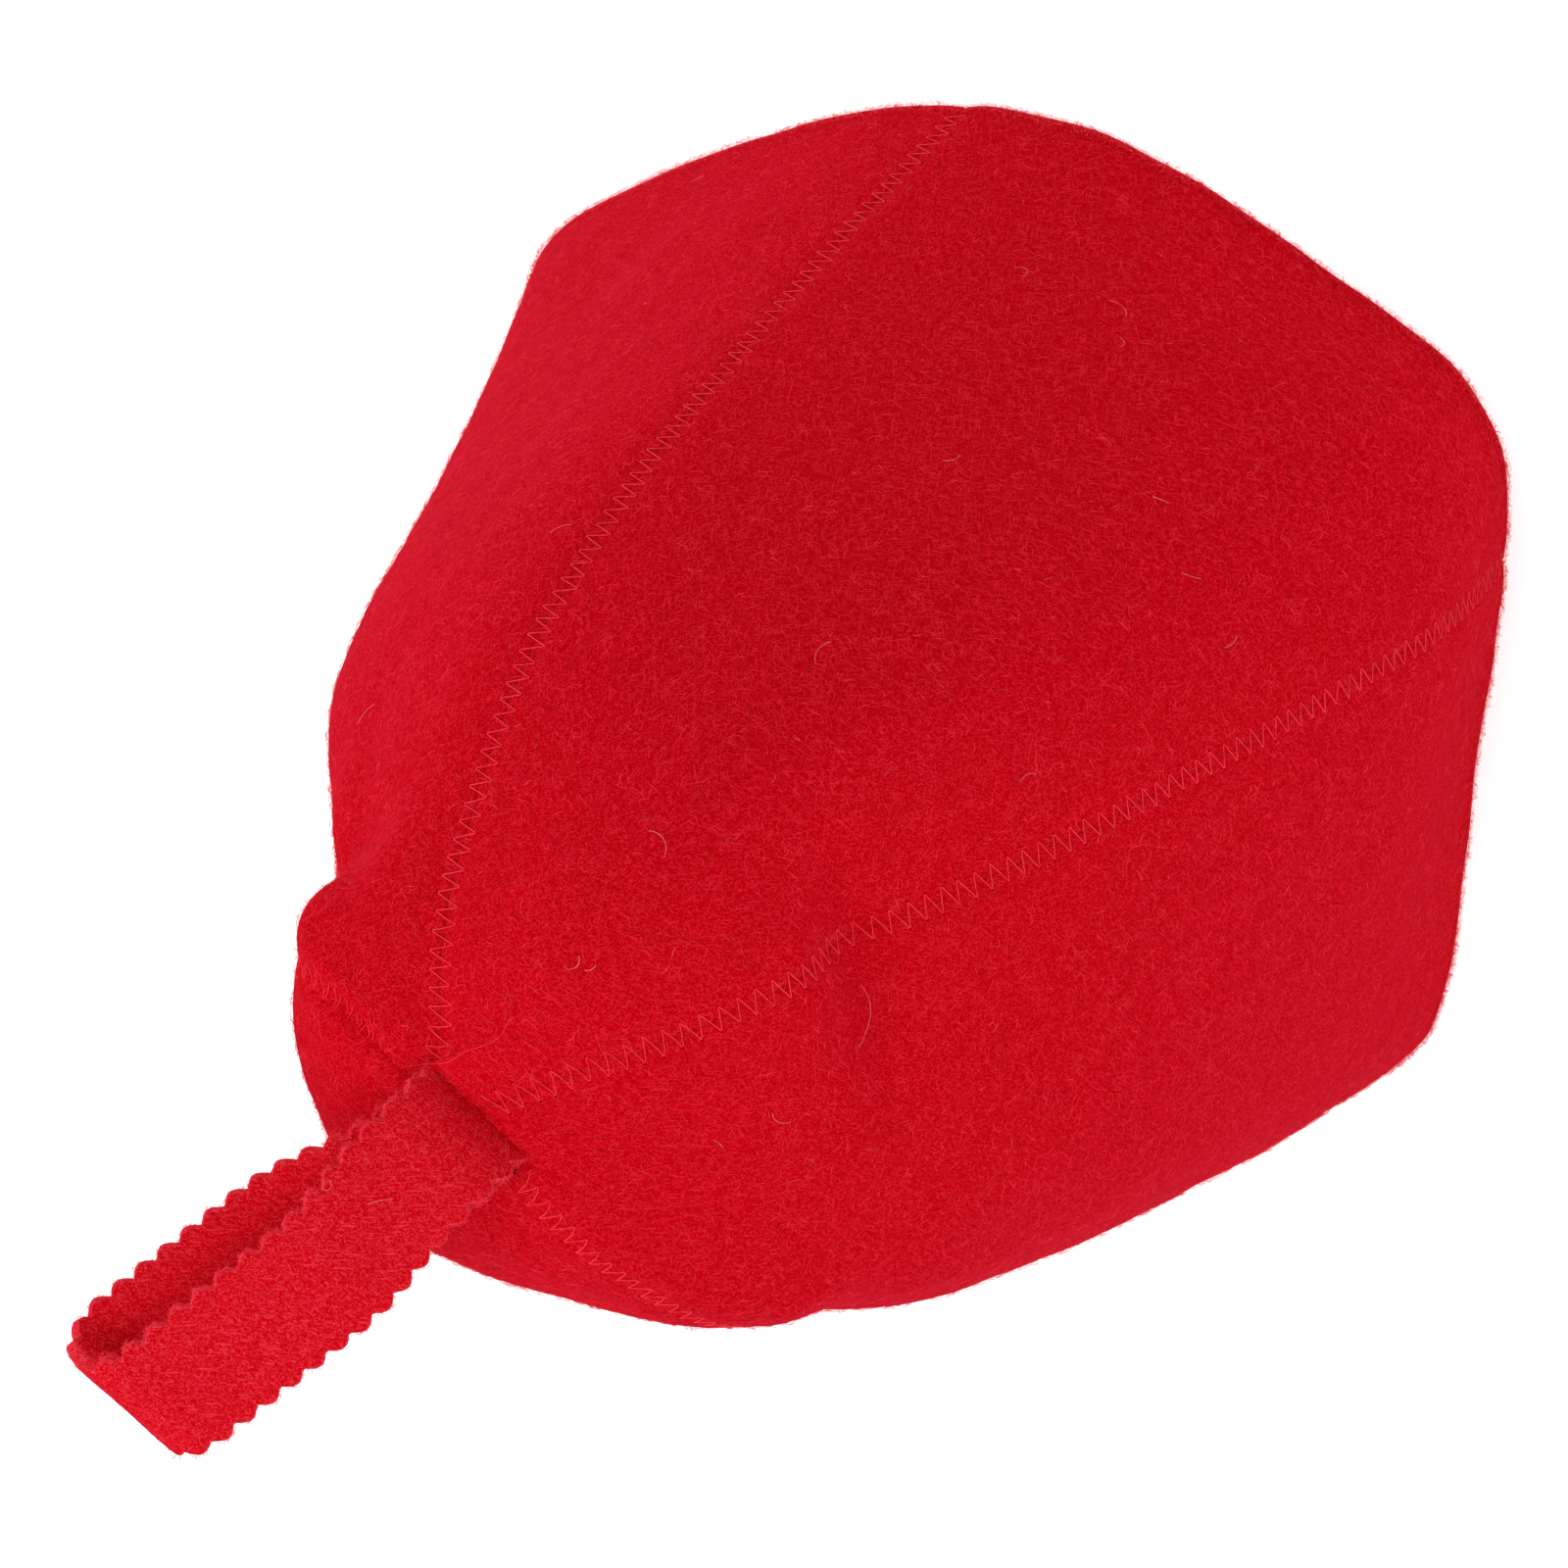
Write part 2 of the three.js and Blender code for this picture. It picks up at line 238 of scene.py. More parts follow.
HAIR_POINTS = 16
HAIR_RADIUS = 0.055
HAIR_SIDES = 5
HAIR_LIFT = 0.12

# The loose end of sewing thread beside the loop, by the pixels that it passes.
LOOSE_THREAD_PX = (
    (408, 1090), (430, 1086), (456, 1084), (476, 1073), (499, 1065), (512, 1056), (518, 1044), (527, 1036),
)
LOOSE_THREAD_STEPS = 5

# The camera looks down on the crown, rolled so that the crown points to the lower left.
CAMERA_ELEVATION_DEG = 51.0
CAMERA_ROLL_DEG = 46.0
PHOTO_SIDE_PX = 1600
FOCAL_PX = 5500.0
APEX_PX = (475.0, 1145.0)
APEX_DISTANCE = 935.0
SENSOR_MM = 36.0
CLIP_START = 0.01

# Felt surface: noise as a scale for each metre and a detail, and the range of it that counts. Fibres are
# streaks of noise with a size in metres and several directions.
PATCH_NOISE = (38.0, 1.0)
PATCH_RANGE = (0.35, 0.65)
PATCH_SHARE = 0.25
MOTTLE_NOISE = (950.0, 3.0)
MOTTLE_RANGE = (0.3, 0.7)
GRAIN_NOISE = (3200.0, 1.0)
FIBRE_NOISE = (1.0, 1.0)
FIBRE_SIZE = (0.0034, 0.00032, 0.00032)
FIBRE_TURNS_DEG = ((0, 0, 12), (0, 0, 78), (0, 65, 0), (25, 40, 140), (60, -35, 30))
FIBRE_RANGE = (0.59, 0.72)
# Painted sheen on the rim's cut edge: how high above the floor it reaches and how far it pales the felt.
RIM_SHEEN_HEIGHT = 0.0022
RIM_SHEEN_SHARE = 0.3
FELT_BUMP = (0.35, 0.0003)
FELT_FINISH = dict(
    roughness=0.95, specular=0.0, sheen=0.55, sheen_roughness=0.25, sheen_tint=(1.0, 0.06, 0.145),
)
FELT_COLUMNS = ("name", "deep", "body", "bright", "fibre_share")
FELT_ROWS = (
    ("red_felt", (0.51, 0.0001, 0.003), (0.595, 0.0004, 0.005), (0.84, 0.016, 0.037), 0.9),
    ("red_loop_felt", (0.585, 0.0003, 0.004), (0.68, 0.001, 0.007), (0.9, 0.036, 0.06), 1.0),
    # The loop's cut edges: the same felt made paler, a painted sheen along the scallops.
    ("red_edge_felt_and_painted_sheen", (0.66, 0.003, 0.012), (0.8, 0.014, 0.032), (0.94, 0.065, 0.1), 1.0),
)
FELTS = [dict(zip(FELT_COLUMNS, row)) for row in FELT_ROWS]

# Strands: loose wool, sewing thread and the shadow in the needle holes.
STRAND_NOISE = (300.0, 2.0)
STRAND_RANGE = (0.3, 0.7)
STRAND_GRAIN = (5000.0, 1.0)
STRAND_BUMP = (0.3, 0.0001)
STRAND_FINISH = dict(roughness=0.7, sheen_roughness=0.4, sheen_tint=(1.0, 0.2, 0.25))
STRAND_COLUMNS = ("name", "low", "high", "specular", "sheen")
STRAND_ROWS = (
    ("loose_red_wool", (0.74, 0.005, 0.015), (1.0, 0.042, 0.068), 0.0, 0.2),
    ("paler_red_wool", (0.98, 0.05, 0.07), (1.0, 0.14, 0.16), 0.0, 0.3),
    # Edge wool: real fuzz on the cut edges, paler than the loose wool as a painted sheen.
    ("edge_fuzz_with_painted_sheen", (0.92, 0.025, 0.05), (1.0, 0.1, 0.15), 0.0, 0.3),
    ("pale_stray_wool", (1.0, 0.12, 0.14), (1.0, 0.31, 0.32), 0.0, 0.5),
    ("sewing_thread", (1.0, 0.024, 0.046), (1.0, 0.055, 0.08), 0.1, 0.5),
    ("needle_hole_shadow", (0.27, 0.0, 0.002), (0.37, 0.001, 0.004), 0.0, 0.0),
)
STRANDS = [dict(zip(STRAND_COLUMNS, row)) for row in STRAND_ROWS]

# Lights: place and size in metres, power in watts.
LIGHT_COLUMNS = ("name", "place", "power", "size")
LIGHT_ROWS = (
    ("overhead", (0.1, 0.0, 1.6), 11.6, 1.0),
    ("left_fill", (-1.3, -0.5, 1.2), 7.2, 1.0),
    ("right_fill", (1.1, 0.95, 0.85), 8.8, 0.9),
)
LIGHTS = [dict(zip(LIGHT_COLUMNS, row)) for row in LIGHT_ROWS]
LIGHT_AIM = (0.0, 0.0, 0.12)
SKY_STRENGTH = 0.29
WHITE = (1.0, 1.0, 1.0)
FLOOR_SIDE = 30.0
FLOOR_GLOW = 0.66
FLOOR_NOISE = (3.0, 2.0)
FLOOR_SHADES = ((0.69, 0.69, 0.69), (0.71, 0.71, 0.71))
FLOOR_FINISH = dict(roughness=0.9, specular=0.2, sheen=0.0, sheen_roughness=0.5, sheen_tint=WHITE)

rng = np.random.default_rng(SEED)


def smooth(x):
    x = np.clip(x, 0.0, 1.0)
    return x * x * (3 - 2 * x)


def unit(v):
    return v / np.linalg.norm(v, axis=-1, keepdims=True)


# The slot's middle in the part's frame, from the panels' edges that end on its two centre lines.
def crown_axis():
    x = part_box("gore_left")[1][0] / MM + PIECE_GAP / 2
    y = (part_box("gore_front")[1][1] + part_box("gore_back")[0][1]) / 2 / MM
    return np.array([x, y, 0.0])


AXIS = crown_axis()


# Net of points that the outer surface passes through: the slot, then one row for each section.
def control_net():
    rim = np.radians([station["rim_azimuth"] for station in STATIONS])
    top = np.radians([station["top_azimuth"] for station in STATIONS])
    slot = np.array([(station["slot_x"], station["slot_y"]) for station in STATIONS]) * SLOT_HALF
    rows = [np.column_stack([slot, np.full(len(STATIONS), CROWN_HEIGHT)])]
    for section in SECTIONS:
        turn = rim + (top - rim) * section["twist"]
        radius = np.array([section[station["name"]] for station in STATIONS], float)
        height = np.full(len(STATIONS), section["z"])
        rows.append(np.stack([radius * np.cos(turn), radius * np.sin(turn), height], -1))
    return np.array(rows)


NET = control_net()
LAST_ROW = len(NET) - 1


def spline(p0, p1, p2, p3, t):
    t = t[..., None]
    cubic = 3 * p1 - p0 - 3 * p2 + p3
    square = 2 * p0 - 5 * p1 + 4 * p2 - p3
    return 0.5 * (2 * p1 + (p2 - p0) * t + square * t**2 + cubic * t**3)


def row_points(row, u):
    at = np.floor(u).astype(int)
    pick = [NET[row, (at + k) % len(STATIONS)] for k in (-1, 0, 1, 2)]
    return spline(*pick, u - at)


# Outer surface before folds and dents: u counts stations, v counts rows from the slot down.
def base_points(u, v):
    row = np.clip(np.floor(v).astype(int), 0, LAST_ROW - 1)
    p1 = row_points(row, u)
    p2 = row_points(row + 1, u)
    above = row_points(np.maximum(row - 1, 0), u)
    below = row_points(np.minimum(row + 2, LAST_ROW), u)
    p0 = np.where((row > 0)[..., None], above, 2 * p1 - p2)
    p3 = np.where((row + 2 <= LAST_ROW)[..., None], below, 2 * p2 - p1)
    return spline(p0, p1, p2, p3, v - row)


def normals_of(surface, u, v):
    along_u = surface(u + PROBE, v) - surface(u - PROBE, v)
    along_v = surface(u, np.minimum(v + PROBE, LAST_ROW)) - surface(u, np.maximum(v - PROBE, 0))
    return unit(np.cross(along_u, along_v))


def relief(u, z):
    half = len(STATIONS) / 2
    rise = np.zeros_like(u)
    for mark in RELIEF:
        away = np.mod(u - mark["station"] + half, len(STATIONS)) - half
        rise += mark["rise"] * np.exp(-((away / mark["round"]) ** 2) - ((z - mark["z"]) / mark["up"]) ** 2)
    return rise


def outer_points(u, v):
    point = base_points(u, v)
    push = normals_of(base_points, u, v)
    push[..., 2] *= smooth(point[..., 2] / LEVEL_BELOW)
    return point + unit(push) * relief(u, point[..., 2])[..., None]


def thickness_axis(u, v):
    axis = normals_of(outer_points, u, v)
    axis[..., 2] = np.where(v >= LAST_ROW, 0.0, axis[..., 2])
    share = smooth(v)[..., None]
    return unit(unit(axis) * share + UP * (1 - share))


def mm_per_station(u, v):
    return np.linalg.norm(outer_points(u + PROBE, v) - outer_points(u - PROBE, v), axis=-1) / (2 * PROBE)


wave_way = unit(rng.normal(size=(WAVES, 3)))
wave_turns = 2 * np.pi / rng.uniform(*WAVE_LENGTHS, WAVES)
wave_start = rng.uniform(0, 2 * np.pi, WAVES)


def unevenness(points):
    phase = (points @ wave_way.T) * wave_turns + wave_start
    return WAVE_RISE * np.sin(phase).sum(-1) / math.sqrt(WAVES / 2)


# Distance to the nearest seam, round the section.
def seam_distance(u, v):
    nearest = np.round((u - 1) / GORE_STATIONS) * GORE_STATIONS + 1
    return np.abs(u - nearest) * mm_per_station(u, v)


# The finished outer skin: seams drawn in, the rim edge rounded, the felt tucked in round the slot.
def skin_points(u, v):
    point = outer_points(u, v)
    away = seam_distance(u, v)
    sink = SEAM_SINK * np.exp(-((away / SEAM_SINK_REACH) ** 2))
    sink += EDGE_ROUND * np.clip(1 - away / EDGE_ROUND_REACH, 0, 1) ** 2
    sink += RIM_ROUND * np.clip(1 - point[..., 2] / RIM_ROUND_REACH, 0, 1) ** 2
    from_slot = np.linalg.norm(point - outer_points(u, np.zeros_like(v)), axis=-1)
    sink += SLOT_TUCK * np.exp(-((from_slot / SLOT_TUCK_REACH) ** 2))
    return point + thickness_axis(u, v) * (unevenness(point) - sink)[..., None]


# Evenly numbered shares from 0 to 1 that crowd together at both ends.
def crowded(cells, crowd):
    t = np.linspace(0, 1, cells + 1)
    return t - crowd * np.sin(2 * np.pi * t) / (2 * np.pi)


def mesh_from(name, points, faces, material, sharp_deg=None):
    mesh = bpy.data.meshes.new(name)
    points = (np.asarray(points, float) + AXIS) * MM
    faces = np.asarray(faces, np.int32)
    corners = faces.shape[1]
    mesh.vertices.add(len(points))
    mesh.vertices.foreach_set("co", points.astype(np.float32).ravel())
    mesh.loops.add(faces.size)
    mesh.loops.foreach_set("vertex_index", faces.ravel())
    mesh.polygons.add(len(faces))
    mesh.polygons.foreach_set("loop_start", np.arange(0, faces.size, corners, dtype=np.int32))
    mesh.update(calc_edges=True)
    mesh.validate()
    mesh.shade_smooth()
    if sharp_deg is not None:
        mesh.set_sharp_from_angle(angle=math.radians(sharp_deg))
    piece = bpy.data.objects.new(name, mesh)
    bpy.context.scene.collection.objects.link(piece)
    mesh.materials.append(material)
    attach(piece, "root")
    return piece


# Materials.
class Nodes:
    """A material's node tree, with short calls to add and join its nodes."""

    def __init__(self, name):
        self.material = bpy.data.materials.new(name)
        self.material.use_nodes = True
        self.tree = self.material.node_tree
        self.shader = self.tree.nodes["Principled BSDF"]
        self.place = self.add("ShaderNodeTexCoord").outputs["Object"]

    def add(self, kind, **settings):
        node = self.tree.nodes.new(kind)
        for key, value in settings.items():
            setattr(node, key, value)
        return node

    def join(self, source, target):
        self.tree.links.new(source, target)

    def noise(self, scale, detail, place=None):
        node = self.add("ShaderNodeTexNoise")
        node.inputs["Scale"].default_value = scale
        node.inputs["Detail"].default_value = detail
        self.join(self.place if place is None else place, node.inputs["Vector"])
        return node.outputs["Fac"]

    def streaks(self, turn_deg):
        node = self.add("ShaderNodeMapping", vector_type="TEXTURE")
        node.inputs["Rotation"].default_value = np.radians(turn_deg)
        node.inputs["Scale"].default_value = FIBRE_SIZE
        self.join(self.place, node.inputs["Vector"])
        return self.ramp(self.noise(*FIBRE_NOISE, node.outputs["Vector"]), *FIBRE_RANGE)

    def ramp(self, source, low, high):
        node = self.add("ShaderNodeMapRange")
        node.inputs["From Min"].default_value = low
        node.inputs["From Max"].default_value = high
        self.join(source, node.inputs["Value"])
        return node.outputs["Result"]

    def height(self):
        node = self.add("ShaderNodeSeparateXYZ")
        self.join(self.place, node.inputs["Vector"])
        return node.outputs["Z"]

    def mix(self, share, first, second):
        node = self.add("ShaderNodeMix", data_type="RGBA")
        self.join(share, node.inputs["Factor"])
        for key, value in (("A", first), ("B", second)):
            socket = next(s for s in node.inputs if s.name == key and s.type == "RGBA")
            if isinstance(value, tuple):
                socket.default_value = (*value, 1.0)
            else:
                self.join(value, socket)
        return next(s for s in node.outputs if s.type == "RGBA")

    def count(self, operation, first, second):
        node = self.add("ShaderNodeMath", operation=operation)
        self.join(first, node.inputs[0])
        if isinstance(second, float):
            node.inputs[1].default_value = second
        else:
            self.join(second, node.inputs[1])
        return node.outputs[0]

    def bump(self, height, strength, distance):
        node = self.add("ShaderNodeBump")
        node.inputs["Strength"].default_value = strength
        node.inputs["Distance"].default_value = distance
        self.join(height, node.inputs["Height"])
        self.join(node.outputs["Normal"], self.shader.inputs["Normal"])

    def finish(self, colour, roughness, specular, sheen, sheen_roughness, sheen_tint):
        self.join(colour, self.shader.inputs["Base Color"])
        self.shader.inputs["Roughness"].default_value = roughness
        self.shader.inputs["Specular IOR Level"].default_value = specular
        self.shader.inputs["Sheen Weight"].default_value = sheen
        self.shader.inputs["Sheen Roughness"].default_value = sheen_roughness
        self.shader.inputs["Sheen Tint"].default_value = (*sheen_tint, 1.0)
        return self.material


# Felt: mottled wool under a mat of finer, paler fibres, and paler towards the bottom of the rim, a painted
# sheen on its cut edge.
def felt_material(name, deep, body, bright, fibre_share):
    made = Nodes(name)
    patches = made.ramp(made.noise(*PATCH_NOISE), *PATCH_RANGE)
    mottle = made.ramp(made.noise(*MOTTLE_NOISE), *MOTTLE_RANGE)
    grain = made.noise(*GRAIN_NOISE)
    fibres = made.streaks(FIBRE_TURNS_DEG[0])
    for turn_deg in FIBRE_TURNS_DEG[1:]:
        fibres = made.count("MAXIMUM", fibres, made.streaks(turn_deg))
    colour = made.mix(mottle, deep, body)
    colour = made.mix(made.count("MULTIPLY", patches, PATCH_SHARE), colour, body)
    colour = made.mix(made.count("MULTIPLY", fibres, fibre_share), colour, bright)
    # Painted sheen: the felt turns paler towards the rim's cut edge at the bottom.
    sheen_cut_edge = made.ramp(made.height(), RIM_SHEEN_HEIGHT, 0.0)
    colour = made.mix(made.count("MULTIPLY", sheen_cut_edge, RIM_SHEEN_SHARE), colour, bright)
    rise = made.count("ADD", fibres, made.count("ADD", mottle, grain))
    made.bump(rise, *FELT_BUMP)
    return made.finish(colour, **FELT_FINISH)


def strand_material(name, low, high, specular, sheen):
    made = Nodes(name)
    colour = made.mix(made.ramp(made.noise(*STRAND_NOISE), *STRAND_RANGE), low, high)
    made.bump(made.noise(*STRAND_GRAIN), *STRAND_BUMP)
    return made.finish(colour, specular=specular, sheen=sheen, **STRAND_FINISH)


# Felt panels.
def make_gore(gore, material):
    from_seam = gore["from_seam"]
    rows = crowded(CELLS_DOWN, CROWD_AT_ENDS) * LAST_ROW
    first = from_seam + BUTT_GAP / 2 / mm_per_station(np.full_like(rows, from_seam), rows)
    to_seam = from_seam + GORE_STATIONS
    last = to_seam - BUTT_GAP / 2 / mm_per_station(np.full_like(rows, to_seam), rows)
    share = crowded(CELLS_ROUND, CROWD_AT_SEAMS)
    u = first[:, None] + (last - first)[:, None] * share[None, :]
    v = np.repeat(rows[:, None], CELLS_ROUND + 1, axis=1)
    outer = skin_points(u, v).reshape(-1, 3)
    bare = outer_points(u, v)
    inner = (bare + thickness_axis(u, v) * (unevenness(bare) - FELT_THICK)[..., None]).reshape(-1, 3)
    outer[:, 2] = np.maximum(outer[:, 2], 0.0)
    inner[:, 2] = np.maximum(inner[:, 2], 0.0)
    at = np.arange((CELLS_DOWN + 1) * (CELLS_ROUND + 1)).reshape(CELLS_DOWN + 1, CELLS_ROUND + 1)
    a, b, c, d = at[:-1, :-1], at[:-1, 1:], at[1:, 1:], at[1:, :-1]
    front = np.stack([a, b, c, d], -1).reshape(-1, 4)
    shift = at.size
    back = front[:, ::-1] + shift
    ring = np.concatenate([at[0, :-1], at[:-1, -1], at[-1, :0:-1], at[:0:-1, 0]])
    following = np.roll(ring, -1)
    wall = np.stack([following, ring, ring + shift, following + shift], -1)
    points = np.vstack([outer, inner])
    faces = np.vstack([front, back, wall])
    piece = mesh_from(gore["node"] + "_felt", points, faces, material, GORE_SHARP_DEG)
    outer_faces = np.arange(len(front))
    return piece, outer_faces, outer_faces[-RIM_FUZZ_ROWS * CELLS_ROUND :]


# The loop's middle line, its facing and its width direction at lengths s along it.
def loop_frames(s):
    fine = np.arange(-LOOP_BURIED, LOOP_LENGTH + PATH_STEP, PATH_STEP)
    lean = math.radians(LOOP_LEAN_DEG) * smooth(fine / LOOP_LEAN_RUN)
    side = np.tan(math.radians(LOOP_SIDE_DEG) * smooth(fine / LOOP_LEAN_RUN))
    step = np.stack([side, np.sin(lean), np.cos(lean)], -1) * PATH_STEP
    travelled = np.cumsum((step[:-1] + step[1:]) / 2, axis=0)
    middle = np.vstack([np.zeros(3), travelled])
    crown = np.array([np.interp(0.0, fine, middle[:, k]) for k in range(3)])
    middle += np.array([0.0, 0.0, CROWN_HEIGHT]) - crown
    middle = np.stack([np.interp(s, fine, middle[:, k]) for k in range(3)], -1)
    lean = np.interp(s, fine, lean)
    forward = np.stack([np.zeros_like(lean), np.sin(lean), np.cos(lean)], -1)
    plain_facing = np.stack([np.zeros_like(lean), -np.cos(lean), np.sin(lean)], -1)
    twist = math.radians(LOOP_TWIST_DEG) * smooth(s / LOOP_TWIST_RUN)
    turned_facing = np.cross(forward, plain_facing)
    facing = plain_facing * np.cos(twist)[:, None] + turned_facing * np.sin(twist)[:, None]
    return middle, forward, facing, np.cross(forward, facing)


def loop_path():
    nearest = STRIP_THICK / 2 + PIECE_GAP / 2
    fold_at = LOOP_LENGTH - LOOP_FOLD_RADIUS
    s = np.arange(-LOOP_BURIED, fold_at, PATH_STEP)
    spread = nearest + (LOOP_FOLD_RADIUS - nearest) * smooth((s - LOOP_CLOSED) / LOOP_OPEN_RUN)
    turn = np.linspace(0, np.pi, int(math.pi * LOOP_FOLD_RADIUS / PATH_STEP))
    fold = np.stack([fold_at + LOOP_FOLD_RADIUS * np.sin(turn), LOOP_FOLD_RADIUS * np.cos(turn)], -1)
    strand = np.stack([s, spread], -1)
    return np.vstack([strand, fold, (strand * (1, -1))[::-1]])


# Ring of points round the strip: side and share across it, inset from that side, face, drop from it.
def strip_ring():
    across = np.linspace(1, -1, STRIP_CELLS_ACROSS + 1)
    top = [(w, 1.0, 1.0, 0.0) for w in across]
    bottom = [(-w, 1.0, -1.0, 0.0) for w in across]
    down = [(inset, 1.0, drop) for inset, drop in STRIP_ROUND_STEPS]
    up = [(inset, -1.0, drop) for inset, drop in STRIP_ROUND_STEPS]
    left = [(-1.0, *step) for step in down + up[::-1]]
    right = [(1.0, *step) for step in up + down[::-1]]
    return np.array(top + left + bottom + right)


# Faces that close one end of the strip, by their places in the ring.
def strip_cap():
    n = STRIP_CELLS_ACROSS
    edge = len(STRIP_ROUND_STEPS) * 2
    first_bottom = n + 1 + edge
    last_bottom = first_bottom + n
    cap = [(k, k + 1, last_bottom - k - 1, last_bottom - k) for k in range(n)]
    for k in range(len(STRIP_ROUND_STEPS)):
        cap.append((n + k, n + k + 1, first_bottom - k - 1, first_bottom - k))
    ring = last_bottom + edge + 1
    for k in range(len(STRIP_ROUND_STEPS)):
        cap.append((last_bottom + k, last_bottom + k + 1, ring - 1 - k, (ring - k) % ring))
    return np.array(cap)


def make_loop(material, edge_sheen_material):
    path = loop_path()
    length = np.concatenate([[0], np.cumsum(np.linalg.norm(np.diff(path, axis=0), axis=1))])
    stations = np.linspace(0, length[-1], int(length[-1] / STRIP_STEP))
    spot = np.stack([np.interp(stations, length, path[:, k]) for k in (0, 1)], -1)
    heading = unit(np.gradient(spot, axis=0))
    middle, forward, facing, across = loop_frames(spot[:, 0])
    lead = (-LOOP_SKEW / 2) * (spot[:, 1] / LOOP_FOLD_RADIUS) * smooth(spot[:, 0] / LOOP_OPEN_RUN)
    centre = middle + facing * spot[:, 1:2] + across * lead[:, None]
    outward = facing * heading[:, :1] - forward * heading[:, 1:]
    bump = np.abs(np.cos(math.pi * stations / SCALLOP_PITCH))
    half = STRIP_WIDTH / 2 - SCALLOP_DEPTH * (1 - bump)
    side, inset, face, drop = strip_ring().T
    wide = side * (half[:, None] - STRIP_EDGE_ROUND * inset)
    level = np.broadcast_to(face * (STRIP_THICK / 2 - STRIP_EDGE_ROUND * drop), wide.shape)
    points = centre[:, None] + across[:, None] * wide[..., None] + outward[:, None] * level[..., None]
    points += outward[:, None] * unevenness(points)[..., None] * STRIP_UNEVEN
    count = len(side)
    at = np.arange(len(stations) * count).reshape(len(stations), count)
    turned = np.roll(at, -1, axis=1)
    skin = np.stack([at[:-1], at[1:], turned[1:], turned[:-1]], -1)
    cap = strip_cap()
    faces = np.vstack([skin.reshape(-1, 4), at[0][cap], at[-1][cap[:, ::-1]]])
    piece = mesh_from("loop_strip", points.reshape(-1, 3), faces, material, STRIP_SHARP_DEG)
    number = np.arange(skin.shape[0] * count).reshape(-1, count)
    sheen_cut_edge = np.minimum(inset, np.roll(inset, -1)) < 1.0
    edge_faces = number[:, sheen_cut_edge].ravel()
    # The cut edge faces take the paler felt: painted sheen along the scallops.
    piece.data.materials.append(edge_sheen_material)
    which = np.zeros(len(faces), np.int32)
    which[edge_faces] = STRIP_EDGE_MATERIAL
    piece.data.polygons.foreach_set("material_index", which)
    return piece, number.ravel(), edge_faces


# Stitches.
def seam_line(station):
    v = np.linspace(0, LAST_ROW, SEAM_SAMPLES)
    point = outer_points(np.full_like(v, station), v)
    length = np.concatenate([[0], np.cumsum(np.linalg.norm(np.diff(point, axis=0), axis=1))])
    return v, length


# Round strands along several paths of the same number of points.
def tubes(paths, radius, sides):
    heading = unit(np.gradient(paths, axis=1))
    guide = np.where(np.abs(heading[..., 2:]) > STEEP, SIDEWAYS, UP)
    first = unit(np.cross(heading, guide))[:, :, None]
    second = np.cross(heading, first[:, :, 0])[:, :, None]
    turn = np.linspace(0, 2 * np.pi, sides, endpoint=False)[:, None]
    points = paths[:, :, None] + radius * (first * np.cos(turn) + second * np.sin(turn))
    at = np.arange(points.size // 3).reshape(points.shape[:3])
    turned = np.roll(at, -1, axis=2)
    faces = np.stack([at[:, :-1], turned[:, :-1], turned[:, 1:], at[:, 1:]], -1)
    return points.reshape(-1, 3), faces.reshape(-1, 4)


# The stitches' legs, each straight from one needle hole to the next, and the holes' places.
def zigzag(seam):
    station = seam["station"]
    v, length = seam_line(station)
    run = length[-1] - SEAM_STARTS_AT - SEAM_ENDS_BEFORE
    steps = np.tile((STITCH_LONG, STITCH_SHORT), int(run / (STITCH_LONG + STITCH_SHORT)))
    along = SEAM_STARTS_AT + np.concatenate([[0.0], np.cumsum(steps)])
    along = along + rng.uniform(-STITCH_JITTER, STITCH_JITTER, len(along))
    tip_v = np.interp(along, length, v)
    side = np.where(np.arange(len(along)) % 2, -1.0, 1.0) * seam["from_side"]
    reach = side * STITCH_HALF + rng.uniform(-STITCH_JITTER, STITCH_JITTER, len(along))
    tip_u = station + reach / mm_per_station(np.full_like(tip_v, station), tip_v)
    u = tip_u[:-1, None] + np.diff(tip_u)[:, None] * LEG_SHARES
    v = tip_v[:-1, None] + np.diff(tip_v)[:, None] * LEG_SHARES
    height = np.array(LEG_HEIGHTS)[:, None] - seam["depth"]
    return skin_points(u, v) + normals_of(outer_points, u, v) * height, tip_u, tip_v


def make_seam(seam, thread, shadow):
    legs, tip_u, tip_v = zigzag(seam)
    points, faces = tubes(legs, THREAD_RADIUS, THREAD_SIDES)
    stitches = mesh_from(seam["name"] + "_zigzag", points, faces, thread)
    # Dark discs at some needle holes: painted shade in the holes.
    open_holes = rng.uniform(size=len(tip_u)) < HOLE_SHARE
    tip_u, tip_v = tip_u[open_holes], tip_v[open_holes]
    normal = normals_of(outer_points, tip_u, tip_v)
    middle = skin_points(tip_u, tip_v) + normal * HOLE_PROUD
    first = unit(np.cross(normal, UP))
    second = np.cross(normal, first)
    turn = np.linspace(0, 2 * np.pi, HOLE_SIDES, endpoint=False)
    ring = first[:, None] * np.cos(turn)[None, :, None] + second[:, None] * np.sin(turn)[None, :, None]
    wobble = rng.uniform(*HOLE_WOBBLE, ring.shape[:2])[..., None] * HOLE_RADIUS
    dots = (middle[:, None] + ring * wobble).reshape(-1, 3)
    faces = np.arange(len(dots)).reshape(len(middle), HOLE_SIDES)
    holes = mesh_from(seam["name"] + "_needle_hole_shade", dots, faces, shadow)
    return stitches, holes


